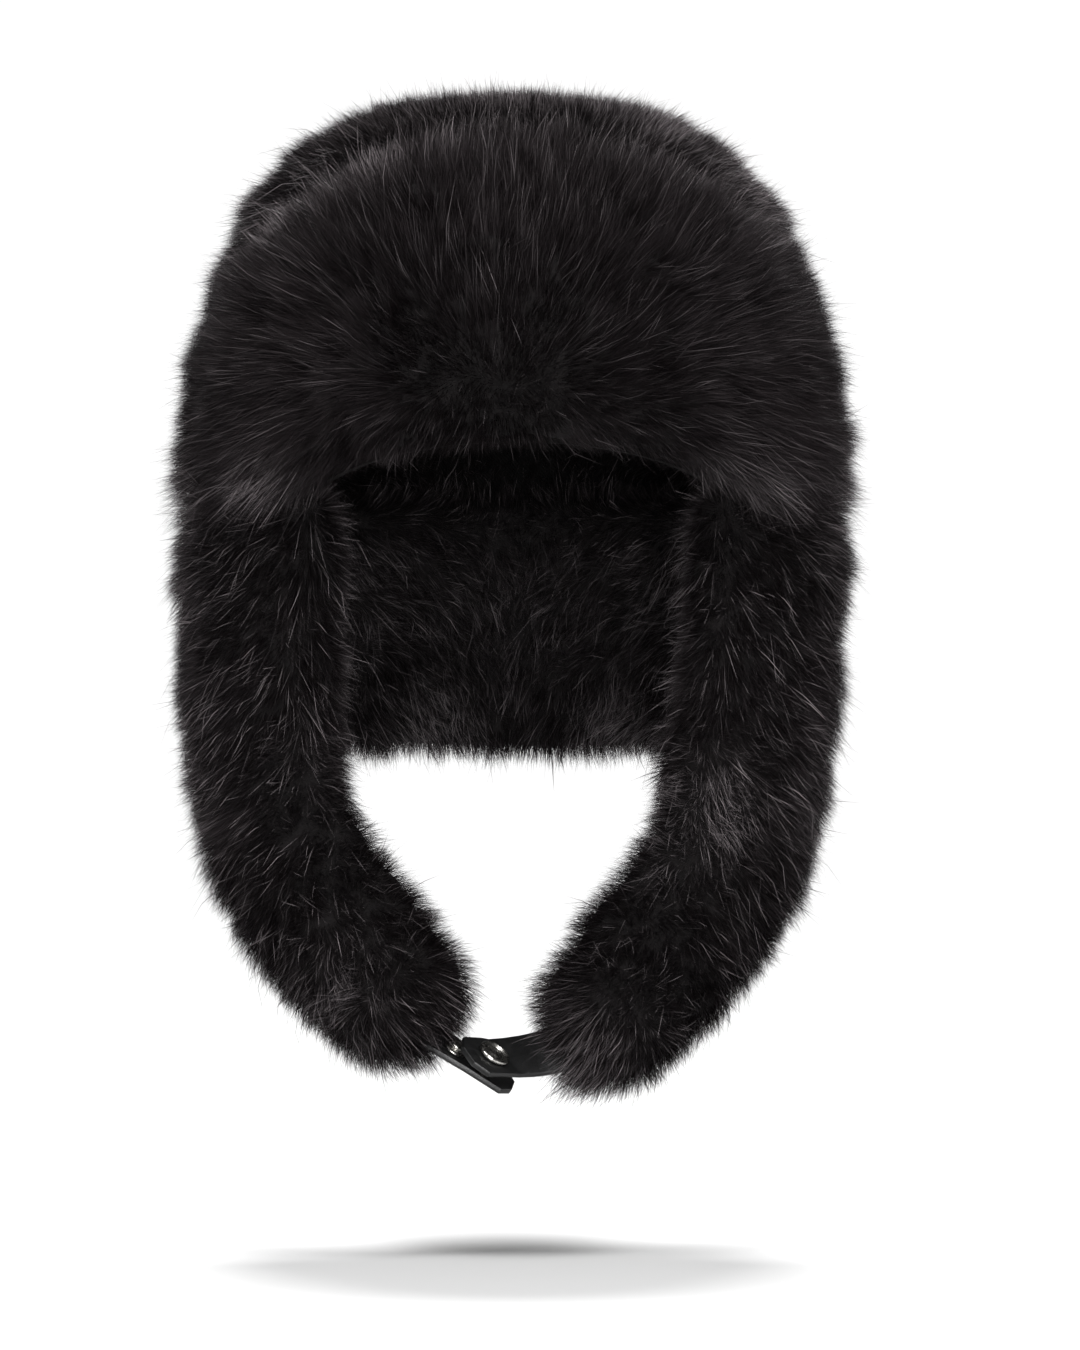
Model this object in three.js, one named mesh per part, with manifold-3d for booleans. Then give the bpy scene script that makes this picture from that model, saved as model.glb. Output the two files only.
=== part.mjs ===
// A fur bomber hat in its worn shape: a hollow crown, a turned-up front flap, two ear flaps that
// meet at snap tabs under the chin, and a neck flap. Millimetres, +Z up, the face towards -Y.
// The origin is where the top of the head touches the inside of the crown.
// Each fur panel is a thin quilted wall, with its pile as rows of locks fused to a backing.
import * as THREE from 'three';
import Module from 'manifold-3d';
import { mergeVertices } from 'three/addons/utils/BufferGeometryUtils.js';

const wasm = await Module();
wasm.setup();

// Driving dimensions
const head = { halfWidth: 82, halfDepth: 101, rise: 88, roundness: 2.6 };
const wallThickness = 3;
const fitGap = 0.3;
const sliver = 0.05;
const browDrop = 91;
const sideDrop = 104.7;
const flapTop = -105;
const neckHem = -188;

// Pile: its depth over each panel, what the crown's top and sides add to it, and the right side more
// than the left, what its shoulders lose, and how far lock roots and tips lie from that depth
const pile = {
  crown: 32, crownTop: 1.5, crownSides: 2.2, rightSide: 1.6, shoulderLoss: 6, front: 31,
  neckOuter: 30, neckInner: 21, hem: 12,
};
const crownShoulder = { down: 0.71, reach: 0.2 };
const lock = { rootLift: -5.5, valleyLift: -2.5, tipLift: 1.5, overlap: 0.2, notch: 0.12 };

const colours = { fur: 0x0b0a0b, wall: 0x141316, leather: 0x101012, metal: 0x8c8a84 };
const furCloth = new THREE.MeshStandardMaterial({ color: colours.fur, roughness: 0.6, metalness: 0 });
const wallCloth = new THREE.MeshStandardMaterial({ color: colours.wall, roughness: 0.85, metalness: 0 });
const leather = new THREE.MeshStandardMaterial({ color: colours.leather, roughness: 0.5, metalness: 0 });
const nickel = new THREE.MeshStandardMaterial({ color: colours.metal, roughness: 0.25, metalness: 1 });

const hat = new THREE.Group();

function addMesh(name, geometry, material, parent = hat) {
  const mesh = new THREE.Mesh(geometry, material);
  mesh.name = name;
  parent.add(mesh);
  return mesh;
}

const mix = (a, b, t) => a + (b - a) * t;
const radians = THREE.MathUtils.degToRad;

// A repeatable number from 0 to 1 for a lock, from its place in its row
function uneven(i, j) {
  const wave = Math.sin(i * 12.9898 + j * 78.233) * 43758.5453;
  return wave - Math.floor(wave);
}

// A closed triangle mesh, built from rings of points
class Skin {
  constructor() {
    this.points = [];
    this.faces = [];
  }

  ring(points) {
    return points.map((p) => this.points.push(p) - 1);
  }

  band(a, b) {
    const n = a.length;
    for (let i = 0; i < n; i++) {
      const k = (i + 1) % n;
      this.faces.push([a[i], a[k], b[k]], [a[i], b[k], b[i]]);
    }
  }

  fan(ring, point) {
    const [tip] = this.ring([point]);
    const n = ring.length;
    for (let i = 0; i < n; i++) this.faces.push([ring[i], ring[(i + 1) % n], tip]);
  }

  // Closes a flat ring whose points i and n - i lie opposite each other
  zip(ring) {
    const n = ring.length;
    for (let i = 0; i < n / 2; i++) {
      const [a, b] = [ring[i], ring[i + 1]];
      const [c, d] = [ring[(n - i) % n], ring[n - i - 1]];
      if (i > 0) this.faces.push([a, b, c]);
      if (b !== d) this.faces.push([b, d, c]);
    }
  }

  // Closes a ring with a fan to a point, or flat where no point is given
  close(ring, point) {
    if (point) this.fan(ring, point);
    else this.zip(ring);
  }

  // Turns over the faces made since a count of them
  turnOver(since = 0) {
    for (let f = since; f < this.faces.length; f++) this.faces[f].reverse();
  }

  geometry() {
    const place = ([a, b, c]) => [this.points[a], this.points[b], this.points[c]];
    const volume = this.faces.reduce((sum, face) => {
      const [a, b, c] = place(face);
      return sum + a.dot(b.clone().cross(c));
    }, 0);
    if (volume < 0) this.turnOver();
    const made = new THREE.BufferGeometry().setFromPoints(this.points);
    made.setIndex(this.faces.flat());
    return made;
  }
}

// An open bag: an outer skin and an inner skin, joined round the mouth and each closed at its end
function bag(outerRings, outerEnd, innerRings, innerEnd) {
  const skin = new Skin();
  const outer = outerRings.map((r) => skin.ring(r));
  const inner = innerRings.map((r) => skin.ring(r));
  for (let j = 0; j + 1 < outer.length; j++) skin.band(outer[j], outer[j + 1]);
  for (let j = 0; j + 1 < inner.length; j++) skin.band(inner[j + 1], inner[j]);
  skin.band(inner[0], outer[0]);
  skin.close(outer.at(-1), outerEnd);
  const before = skin.faces.length;
  skin.close(inner.at(-1), innerEnd);
  skin.turnOver(before);
  return skin.geometry();
}

// A closed body from flat rings, zipped shut at both ends
function pod(rings) {
  const skin = new Skin();
  const made = rings.map((r) => skin.ring(r));
  for (let j = 0; j + 1 < made.length; j++) skin.band(made[j], made[j + 1]);
  skin.zip(made.at(-1));
  const before = skin.faces.length;
  skin.zip(made[0]);
  skin.turnOver(before);
  return skin.geometry();
}

// Rings of a pile skin in the way the fur lies: for each row of locks a ring of roots and then one
// of tips, every second point a tip. place(i, along, lift) gives a point.
function lockRings(count, rowEnds, place) {
  const rings = [];
  for (let row = 0; row + 1 < rowEnds.length; row++) {
    const [start, end] = [rowEnds[row], rowEnds[row + 1]];
    const step = end - start;
    const last = row + 2 === rowEnds.length;
    const roots = [];
    const tips = [];
    for (let i = 0; i < count; i++) {
      const isTip = (i + row) % 2 === 0;
      const reach = last ? 0 : step * (isTip ? lock.overlap * mix(0.7, 1.2, uneven(i, row)) : -lock.notch);
      roots.push(place(i, start, lock.rootLift));
      tips.push(place(i, end + reach, isTip ? mix(0, 2, uneven(row, i)) * lock.tipLift : lock.valleyLift));
    }
    rings.push(roots, tips);
  }
  return rings;
}

// Where section point i of count lies: across from 1 to -1 and back, and how full it is there
function sectionPoint(i, count, squareness) {
  const half = count / 2;
  const k = i <= half ? i : count - i;
  const across = 1 - (2 * k) / half;
  const full = (1 - Math.abs(across) ** squareness) ** (1 / squareness);
  return { across, full, outside: i <= half, edge: k === 0 || k === half };
}

function toSolid(geometry) {
  const plain = new THREE.BufferGeometry();
  plain.setAttribute('position', geometry.getAttribute('position'));
  plain.setIndex(geometry.index);
  const merged = mergeVertices(plain, 1e-4);
  const vertProperties = merged.attributes.position.array;
  const triVerts = new Uint32Array(merged.index.array);
  return new wasm.Manifold(new wasm.Mesh({ numProp: 3, vertProperties, triVerts }));
}

function fromSolid(solid) {
  const mesh = solid.getMesh();
  const made = new THREE.BufferGeometry();
  made.setAttribute('position', new THREE.BufferAttribute(mesh.vertProperties, 3));
  made.setIndex(new THREE.BufferAttribute(mesh.triVerts, 1));
  return made;
}

// Cuts a body clear of others and keeps its main piece, without the slivers that a cut leaves
function cut(geometry, ...cutters) {
  const left = cutters.reduce((solid, c) => solid.subtract(toSolid(c)), toSolid(geometry));
  const bodies = left.simplify(sliver).decompose().sort((a, b) => b.volume() - a.volume());
  return fromSolid(bodies[0]);
}

// The head form: turn is the angle from the face round to the wearer's left, down runs from 0 at the
// apex to 1 at the widest level and 2 at the rim, and offset is outwards
function rimDrop(turn) {
  return mix(browDrop, sideDrop, Math.min(1, (1 - Math.cos(turn)) * 1.1));
}

function crownPoint(turn, down, offset) {
  const theta = (Math.min(down, 1) * Math.PI) / 2;
  const reach = Math.sin(theta) ** (2 / head.roundness);
  const up = head.rise * Math.cos(theta) ** (2 / head.roundness);
  const x = head.halfWidth * reach * Math.sin(turn);
  const y = -head.halfDepth * reach * Math.cos(turn);
  const z = up - head.rise - Math.max(0, down - 1) * (rimDrop(turn) - head.rise);
  const q = (x / head.halfWidth) ** 2 + (y / head.halfDepth) ** 2;
  const side = q ** (head.roundness / 2 - 1);
  const normal = new THREE.Vector3(
    (side * x) / head.halfWidth ** 2,
    (side * y) / head.halfDepth ** 2,
    up > 1e-6 ? up ** (head.roundness - 1) / head.rise ** head.roundness : 0,
  ).normalize();
  return new THREE.Vector3(x, y, z).addScaledVector(normal, offset);
}

// The level down at which the head form lies at height z
function downAt(z) {
  const share = THREE.MathUtils.clamp((z + head.rise) / head.rise, 0, 1);
  return (Math.acos(share ** (head.roundness / 2)) * 2) / Math.PI;
}

function ringOf(count, place) {
  return Array.from({ length: count }, (_, i) => place(i));
}

// Crown: the wall, and the pile over it, which is cut away where the front flap stands before it
const crown = { sides: 32, levels: [2, 1, 0.8, 0.62, 0.44, 0.24] };

function crownWall() {
  const turnOf = (i) => (i / crown.sides) * 2 * Math.PI;
  const shell = (offset) => crown.levels.map((down) =>
    ringOf(crown.sides, (i) => crownPoint(turnOf(i), down, offset)));
  const apex = (offset) => new THREE.Vector3(0, 0, offset);
  return bag(shell(wallThickness), apex(wallThickness), shell(0), apex(0));
}

const crownFur = { points: 46, rowEnds: [0.12, 0.27, 0.42, 0.57, 0.72, 0.88, 1.15, 2] };

function crownPile() {
  const turnOf = (i) => (i / crownFur.points) * 2 * Math.PI;
  const skin = wallThickness + pile.crown;
  const outer = lockRings(crownFur.points, crownFur.rowEnds, (i, down, lift) => {
    const side = pile.crownSides - pile.rightSide * Math.sin(turnOf(i));
    const fuller = mix(pile.crownTop, side, THREE.MathUtils.smoothstep(down, 0.1, 0.5));
    const near = 1 - Math.min(1, Math.abs(down - crownShoulder.down) / crownShoulder.reach);
    const loss = pile.shoulderLoss * near * Math.sin(turnOf(i)) ** 2;
    return crownPoint(turnOf(i), Math.min(down, 2), skin + lift + fuller - loss);
  });
  const inner = crown.levels.map((down) =>
    ringOf(crownFur.points, (i) => crownPoint(turnOf(i), down, wallThickness + fitGap)));
  const inside = new THREE.Vector3(0, 0, wallThickness + fitGap);
  return bag(outer.reverse(), new THREE.Vector3(0, 0, skin), inner, inside);
}

// Front flap: a panel turned up over the brow. rise runs from 0 at the brow to 1 at the wall's top.
// standOff is how far its top stands from the crown, lean how far its face turns up there, rollBack
// how far the pile above the wall's top leans back, and tuck how deep the pile goes behind the wall.
const front = {
  halfTurn: radians(64), top: -5, topAtSide: -40, drop: 21, standOff: 20, sideStandOff: 0.25, points: 38,
  wallLevels: [0, 0.25, 0.5, 0.75, 1], furRows: [-0.01, 0.2, 0.45, 0.7, 0.95, 1.2],
  roomLevels: [-0.25, 0, 0.25, 0.5, 0.75, 0.97, 1.01, 1.18, 1.36],
  lean: radians(26), rollBack: 0.35, furMargin: 1.3, roomMargin: 1.34, tuck: 9,
};

function frontPoint(across, rise, offset) {
  const turn = across * front.halfTurn;
  const toSide = Math.min(1, across ** 2);
  const bottom = -browDrop - fitGap - front.drop * toSide;
  const top = mix(front.top, front.topAtSide, across ** 2);
  const z = mix(bottom, top, Math.min(rise, 1));
  const standOff = front.standOff * mix(1, front.sideStandOff, toSide);
  const away = wallThickness + 2 + standOff * Math.max(0, rise) ** 2;
  const base = crownPoint(turn, z > -head.rise ? downAt(z) : 1, 0);
  const outward = new THREE.Vector3(Math.sin(turn), -Math.cos(turn), 0);
  const lean = front.lean * THREE.MathUtils.smoothstep(rise, 0.2, 1.1);
  const normal = outward.clone().multiplyScalar(Math.cos(lean)).setZ(Math.sin(lean));
  const over = Math.max(0, rise - 1) * (top - bottom);
  base.z = z + over;
  return base.addScaledVector(outward, away - over * front.rollBack).addScaledVector(normal, offset);
}

function frontWall(grow = 0) {
  const level = (rise) => ringOf(front.points, (i) => {
    const at = sectionPoint(i, front.points, 2);
    const half = at.edge ? 0 : (at.outside ? 1 : -1) * (wallThickness / 2 + grow);
    const longer = rise + Math.sign(rise - 0.5) * grow * 0.01;
    return frontPoint(at.across * (1 + grow * 0.01), longer, half);
  });
  return pod(front.wallLevels.map(level));
}

// grow widens the pile all round, for cutting its neighbours clear of it
function frontPile(grow = 0) {
  const place = (i, rise, lift) => {
    const at = sectionPoint(i, front.points, 5.5);
    const closing = Math.sqrt(Math.max(0.02, 1 - Math.max(0, (rise - 0.9) / 0.36) ** 2));
    const hem = Math.sqrt(Math.min(1, Math.max(0.12, (rise + 0.09) / 0.3)));
    const depth = at.outside ? Math.max(1, pile.front + lift) * at.full * closing * hem : 0;
    const behind = rise > 1.02 ? -front.tuck * closing * (1 - at.across ** 2) : wallThickness / 2;
    const offset = depth + behind + (at.outside ? grow : -grow) * (at.edge ? 0 : 1);
    const longer = rise + Math.sign(rise - 0.5) * grow * 0.01;
    return frontPoint(at.across * (front.furMargin + grow * 0.02), longer, offset);
  };
  return pod(lockRings(front.points, front.furRows, place));
}

// The room that the flap takes out of the crown's pile: back to the crown's wall near the brow, to
// the flap's own back near its top, and open to the front
function frontRoom() {
  const level = (rise) => ringOf(front.points, (i) => {
    const at = sectionPoint(i, front.points, 9);
    const free = THREE.MathUtils.smoothstep(rise, 0.35, 0.95);
    const tuck = rise > 1 ? front.tuck * (1 - at.across ** 2) + 0.5 : 0;
    const behind = mix(-2.4 - front.standOff * rise * rise, -wallThickness / 2 - 3, free) - tuck;
    const offset = at.outside ? pile.front * 2 * at.full : behind;
    return frontPoint(at.across * front.roomMargin, rise, offset);
  });
  return pod(front.roomLevels.map(level));
}

// Ear flaps, as seen on the wearer's right and left. Rows run from the crown's rim to the end.
// x, y, z is the middle of the wall, face its outward side, half its half width, bow how far its
// edges bend in, front and back the pile's reach past those edges, outer and inner its depth.
const earColumns = [
  'x', 'y', 'z', 'faceX', 'faceY', 'faceZ', 'half', 'bow', 'front', 'back', 'outer', 'inner',
];
const earRows = {
  right: [
    [84, 3, -99, 1, 0, 0, 43, 7, 16, 5, 38, 17],
    [86, 0, -145, 1, 0, 0, 43, 7, 16, 5, 36, 19],
    [87, -5, -185, 1, 0, 0, 39, 5, 16, 7, 34, 21],
    [87, -13, -212, 1, -0.1, 0, 34, 4, 16, 12, 30, 21],
    [82, -25, -236, 0.9, -0.3, -0.3, 28, 3, 15, 14, 27, 20],
    [70, -41, -256, 0.75, -0.6, -0.35, 22, 2, 14, 14, 26, 22],
    [55, -56, -272, 0.5, -0.8, -0.3, 18, 2, 14, 16, 26, 23],
    [42, -69, -287, 0.1, -0.9, 0, 14, 1, 14, 7, 26, 23],
  ],
  left: [
    [84, 3, -99, 1, 0, 0, 43, 7, 16, 5, 36, 18],
    [85, 0, -145, 1, 0, 0, 43, 7, 16, 5, 33, 20],
    [85, -5, -185, 1, 0, 0, 39, 5, 16, 7, 30, 25],
    [81, -13, -217, 1, -0.1, 0, 34, 4, 16, 12, 29, 27],
    [75, -25, -241, 0.9, -0.3, -0.3, 28, 3, 15, 14, 26, 25],
    [62, -41, -262, 0.75, -0.6, -0.35, 22, 2, 14, 12, 25, 25],
    [47, -56, -279, 0.5, -0.8, -0.3, 18, 2, 14, 10, 26, 26],
    [33, -69, -294, 0.2, -0.9, -0.1, 14, 1, 14, 9, 26, 26],
  ],
};
const ear = {
  points: 24, endPile: 20, thickness: 3, wallSteps: 9,
  furRows: [0, 0.13, 0.27, 0.41, 0.55, 0.69, 0.83, 0.93, 0.98, 1.03],
};

function earFlap(name) {
  const side = name === 'left' ? 1 : -1;
  const rows = earRows[name].map((row) => {
    const at = Object.fromEntries(earColumns.map((key, k) => [key, row[k]]));
    at.x *= side;
    at.faceX *= side;
    return at;
  });
  const stations = rows.map((r) => new THREE.Vector3(r.x, r.y, r.z));
  const spine = new THREE.CatmullRomCurve3(stations, false, 'centripetal');
  const last = rows.length - 1;
  const value = (key, t) => {
    const place = Math.min(t, 1) * last;
    const k = Math.min(last - 1, Math.floor(place));
    return mix(rows[k][key], rows[k + 1][key], place - k);
  };
  const frame = (t) => {
    const held = Math.min(t, 1);
    const along = spine.getTangent(held).normalize();
    const face = new THREE.Vector3(value('faceX', t), value('faceY', t), value('faceZ', t));
    face.addScaledVector(along, -face.dot(along)).normalize();
    const backward = along.clone().cross(face).multiplyScalar(-side);
    const centre = spine.getPoint(held).addScaledVector(along, Math.max(0, t - 1) * ear.endPile);
    return { along, face, backward, centre };
  };
  // across is in mm from the middle towards the back, out in mm from the wall's middle
  const place = (t, across, out) => {
    const at = frame(t);
    const bend = value('bow', t) * (across / value('half', t)) ** 2;
    return at.centre.addScaledVector(at.backward, across).addScaledVector(at.face, out - bend);
  };
  const flatRing = (t, extra) => ringOf(ear.points, (i) => {
    const at = sectionPoint(i, ear.points, 2);
    const half = at.edge ? 0 : (at.outside ? 1 : -1) * (ear.thickness / 2 + extra);
    return place(t, at.across * (value('half', t) + extra), half);
  });
  const steps = Array.from({ length: ear.wallSteps }, (_, k) => k / (ear.wallSteps - 1));
  const wall = pod(steps.map((t) => flatRing(t, 0)));
  const wallRoom = pod(steps.map((t) => flatRing(t, 0.5)));
  // The pile goes round both faces and the end, and is open at the crown's rim
  const furPlace = (i, t, lift) => {
    const at = sectionPoint(i, ear.points, mix(4, 2.4, THREE.MathUtils.smoothstep(t, 0.3, 0.75)));
    const end = 1 + (ear.endPile - 2) / ear.endPile;
    const along = t > 0.9 ? mix(0.9, end, (t - 0.9) / 0.13) : t;
    const closing = Math.sqrt(Math.max(0.12, 1 - Math.max(0, along - 1) ** 2));
    const shoulder = mix(0.95, 1, THREE.MathUtils.smoothstep(along, 0, 0.1));
    const reach = value('half', t) + value(at.across > 0 ? 'back' : 'front', t);
    const depth = (at.outside ? value('outer', t) : value('inner', t)) + lift;
    const out = depth * at.full * closing * (at.outside ? shoulder : 1);
    const offset = Math.max(out, at.edge ? 0 : 3);
    return place(along, at.across * reach * closing, at.outside ? offset : -offset);
  };
  const outer = lockRings(ear.points, ear.furRows, furPlace);
  const endFrame = frame(1);
  const clearance = fitGap + 0.1;
  const endRing = flatRing(1, clearance).map((p) => p.addScaledVector(endFrame.along, clearance));
  const inner = [...steps.slice(0, -1).map((t) => flatRing(t, clearance)), endRing];
  const fur = bag(outer, frame(1.98).centre, inner, null);
  return { wall, wallRoom, fur, frame, side };
}

// Neck flap: a band round the nape between the ear flaps
const neck = {
  halfTurn: radians(59), points: 36, levels: [0, 0.34, 0.67, 1], furRows: [0, 0.27, 0.53, 0.79, 1.05],
  halfWidth: head.halfWidth + wallThickness / 2, halfDepth: head.halfDepth + wallThickness / 2,
};

function neckPoint(across, down, out) {
  const turn = Math.PI + across * neck.halfTurn;
  const z = mix(flapTop, neckHem, down);
  const normal = new THREE.Vector3(Math.sin(turn) / neck.halfWidth, -Math.cos(turn) / neck.halfDepth, 0);
  const sway = 5 * down ** 2;
  const middle = new THREE.Vector3(neck.halfWidth * Math.sin(turn), -neck.halfDepth * Math.cos(turn), z);
  return middle.addScaledVector(normal.normalize(), out - sway);
}

function neckFlap() {
  const flatRing = (down, extra) => ringOf(neck.points, (i) => {
    const at = sectionPoint(i, neck.points, 2);
    const half = at.edge ? 0 : (at.outside ? 1 : -1) * (wallThickness / 2 + extra);
    return neckPoint(at.across * (1 + extra / 100), down, half);
  });
  const clearance = fitGap + 0.1;
  const wall = pod(neck.levels.map((down) => flatRing(down, 0)));
  const place = (i, down, lift) => {
    const at = sectionPoint(i, neck.points, 4);
    const length = flapTop - neckHem;
    const past = down > 0.79 ? ((down - 0.79) / 0.26) * (0.21 + pile.hem / length) : 0;
    const along = Math.min(down, 0.79) + past;
    const beyond = Math.max(0, along - 1) * (length / pile.hem);
    const closing = Math.sqrt(Math.max(0.1, 1 - beyond ** 2));
    const shoulder = at.outside ? mix(0.72, 1, THREE.MathUtils.smoothstep(along, 0, 0.25)) : 1;
    const depth = (at.outside ? pile.neckOuter : pile.neckInner) + lift;
    const out = Math.max(depth * at.full * closing * shoulder, at.edge ? 0 : 3);
    return neckPoint(at.across * 1.03, along, (at.outside ? 1 : -1) * out);
  };
  const outer = lockRings(neck.points, neck.furRows, place);
  const hemRing = flatRing(1, clearance).map((p) => p.setZ(p.z - clearance));
  const inner = [...neck.levels.slice(0, -1).map((down) => flatRing(down, clearance)), hemRing];
  return { wall, fur: bag(outer, null, inner, null) };
}

// Snap tabs: a strip along a centre line, turned so that up is its showing face.
// Rows run from the flap's end to the tab's tip.
const tabThickness = 2.2;
const tabTip = 12;
const tipRound = 4;
const snapFlat = 7;
const snapCentre = new THREE.Vector3(-8.3, -78, -304.4);
const snapUp = new THREE.Vector3(0.515, -0.43, 0.74).normalize();
const socketDepth = 2;
const studFlange = 0.8;
const tabBevel = 0.5;
const lowerTabDepth = tabThickness + socketDepth + studFlange + 3 * fitGap;
const lowerCentre = snapCentre.clone().addScaledVector(snapUp, -lowerTabDepth);
const spareSpacing = 12;
const tabSteps = 14;

function along(from, direction, distance) {
  return from.clone().addScaledVector(direction, distance);
}

// half is the half width and grow widens it all round
function tabStrip(centres, ups, half, grow) {
  const line = new THREE.CatmullRomCurve3(centres, false, 'centripetal');
  const length = line.getLength();
  const upLine = new THREE.CatmullRomCurve3(ups, false, 'centripetal');
  const level = (k) => {
    const t = k / tabSteps;
    const at = line.getPointAt(t);
    const forward = line.getTangentAt(t).normalize();
    if (k === 0) at.addScaledVector(forward, -grow);
    const up = upLine.getPoint(line.getUtoTmapping(t));
    up.addScaledVector(forward, -up.dot(forward)).normalize();
    const sideways = forward.clone().cross(up);
    const left = length * (1 - t);
    const round = left < tipRound ? Math.sqrt(Math.max(0.2, 1 - (1 - left / tipRound) ** 2)) : 1;
    const wide = half * round * mix(0.6, 1, THREE.MathUtils.smoothstep(t, 0, 0.3)) + grow;
    const [top, bottom] = [grow, -tabThickness - grow];
    const outline = [
      [wide, (top + bottom) / 2], [wide - tabBevel, top], [0, top], [tabBevel - wide, top],
      [-wide, (top + bottom) / 2], [tabBevel - wide, bottom], [0, bottom], [wide - tabBevel, bottom],
    ];
    return outline.map(([w, n]) => at.clone().addScaledVector(sideways, w).addScaledVector(up, n));
  };
  return pod(Array.from({ length: tabSteps + 1 }, (_, k) => level(k)));
}

// seat is the tab's point at the snap, tip its direction there and bend a point on its way from the
// flap. facing is how far its face has turned from the flap's face to the snap's at the bend.
function tab(flap, { seat, tip, bend, half, facing }, grow) {
  const end = flap.frame(1);
  const centres = [
    along(end.centre, end.along, 3 * fitGap), along(end.centre, end.along, 5), bend,
    along(seat, tip, -snapFlat), seat, along(seat, tip, snapFlat), along(seat, tip, tabTip),
  ];
  const faceAt = (share) => end.face.clone().lerp(snapUp, share).normalize();
  const ups = [0, facing / 3, facing, 1, 1, 1, 1].map(faceAt);
  return tabStrip(centres, ups, half, grow);
}

const lower = {
  seat: lowerCentre, tip: new THREE.Vector3(0.841, 0.089, -0.533).normalize(),
  bend: new THREE.Vector3(-27, -75.5, -298.5), half: 7.5, facing: 0.85,
};
const upper = {
  seat: snapCentre, tip: new THREE.Vector3(-0.695, -0.715, 0.069).normalize(),
  bend: new THREE.Vector3(9, -69, -303.6), half: 9.5, facing: 0.7,
};
const rightTab = (grow = 0) => tab(rightEar, lower, grow);
const leftTab = (grow = 0) => tab(leftEar, upper, grow);

// A turned piece from a profile of [radius, height], its axis along up at a point
function turned(profile, segments = 12) {
  return new THREE.LatheGeometry(profile.map(([r, h]) => new THREE.Vector2(r, h)), segments);
}

function snapSeat(point, up) {
  const seat = new THREE.Group();
  seat.position.copy(point);
  seat.quaternion.setFromUnitVectors(new THREE.Vector3(0, 1, 0), up);
  hat.add(seat);
  return seat;
}

const post = { radius: 1.6, hole: 2 };
const snap = { capRadius: 5.8, rimHeight: 1.6, dish: 0.7, socketRadius: 4.8, socketBore: 2.9 };

// The cap is a dished disc with a rolled rim, on a post that goes through the tab to the socket
function snapCap() {
  const low = fitGap;
  const foot = -tabThickness - fitGap;
  const edge = snap.capRadius;
  return turned([
    [0, foot], [post.radius, foot], [post.radius, low], [edge - 0.5, low], [edge, low + 0.5],
    [edge - 0.1, low + 1.1], [edge - 0.8, low + snap.rimHeight], [edge - 1.7, low + 1.3],
    [edge - 2.1, low + snap.dish], [2, low + 1.1], [0, low + 1.4],
  ], 14);
}

function snapSocket() {
  const top = -tabThickness - 2 * fitGap;
  const bottom = top - socketDepth + fitGap;
  const edge = snap.socketRadius;
  return turned([
    [0, top - 0.5], [snap.socketBore, top - 0.5], [snap.socketBore, bottom], [edge - 0.5, bottom],
    [edge, bottom + 0.5], [edge, top - 0.4], [edge - 0.4, top], [0, top],
  ]);
}

// A stud stands on the lower tab, its post through to a rivet below
function snapStud() {
  const low = fitGap;
  return turned([
    [0, -tabThickness - fitGap], [post.radius, -tabThickness - fitGap], [post.radius, low],
    [4.4, low], [4.6, low + 0.3], [4.2, low + studFlange - 0.2], [2.2, low + studFlange - 0.2],
    [2.1, low + 1.2], [2.4, low + 1.7], [2, low + 2], [0, low + 2],
  ]);
}

function snapRivet() {
  const top = -tabThickness - 2 * fitGap;
  return turned([
    [0, top - 1.2], [3, top - 1.1], [4, top - 0.7], [4.2, top - 0.3], [4, top], [0, top],
  ]);
}

// What lies above the seam where the flaps hang from the crown's rim
function aboveSeam() {
  const block = new THREE.BoxGeometry(400, 400, 60);
  block.translate(0, 0, flapTop + 30);
  return block;
}

function postHole(point, up) {
  const hole = new THREE.CylinderGeometry(post.hole, post.hole, 12, 12);
  hole.applyQuaternion(new THREE.Quaternion().setFromUnitVectors(new THREE.Vector3(0, 1, 0), up));
  hole.translate(point.x, point.y, point.z);
  return hole;
}

const rightEar = earFlap('right');
const leftEar = earFlap('left');
const neckBand = neckFlap();
const clear = 1.7;
const brow = frontPile(2);
const browWall = frontWall(1);
const seam = aboveSeam();

addMesh('crown_wall', crownWall(), wallCloth);
addMesh('crown_fur', cut(crownPile(), frontRoom()), furCloth);
addMesh('front_flap_wall', frontWall(), wallCloth);
addMesh('front_flap_fur', cut(frontPile(), frontWall(0.5), rightEar.wallRoom, leftEar.wallRoom), furCloth);
addMesh('right_ear_flap_wall', cut(rightEar.wall, seam), wallCloth);
addMesh('right_ear_flap_fur', cut(rightEar.fur, seam, brow, browWall, rightTab(clear)), furCloth);
addMesh('left_ear_flap_wall', cut(leftEar.wall, seam), wallCloth);
addMesh('left_ear_flap_fur', cut(leftEar.fur, seam, brow, browWall, leftTab(clear)), furCloth);
addMesh('neck_flap_wall', neckBand.wall, wallCloth);
addMesh('neck_flap_fur', neckBand.fur, furCloth);

// A spare stud on the lower tab gives the chin a tighter setting
const spareCentre = along(lowerCentre, lower.tip, -spareSpacing);
const studHoles = [lowerCentre, spareCentre].map((point) => postHole(point, snapUp));
addMesh('right_tab', cut(rightTab(), ...studHoles), leather);
addMesh('left_tab', cut(leftTab(), postHole(snapCentre, snapUp)), leather);

const upperSeat = snapSeat(snapCentre, snapUp);
addMesh('snap_cap', snapCap(), nickel, upperSeat);
addMesh('snap_socket', snapSocket(), nickel, upperSeat);
const lowerSeat = snapSeat(lowerCentre, snapUp);
addMesh('snap_stud', snapStud(), nickel, lowerSeat);
addMesh('snap_rivet', snapRivet(), nickel, lowerSeat);
const spareSeat = snapSeat(spareCentre, snapUp);
addMesh('spare_stud', snapStud(), nickel, spareSeat);
addMesh('spare_rivet', snapRivet(), nickel, spareSeat);

export default hat;
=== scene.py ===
import math

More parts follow.
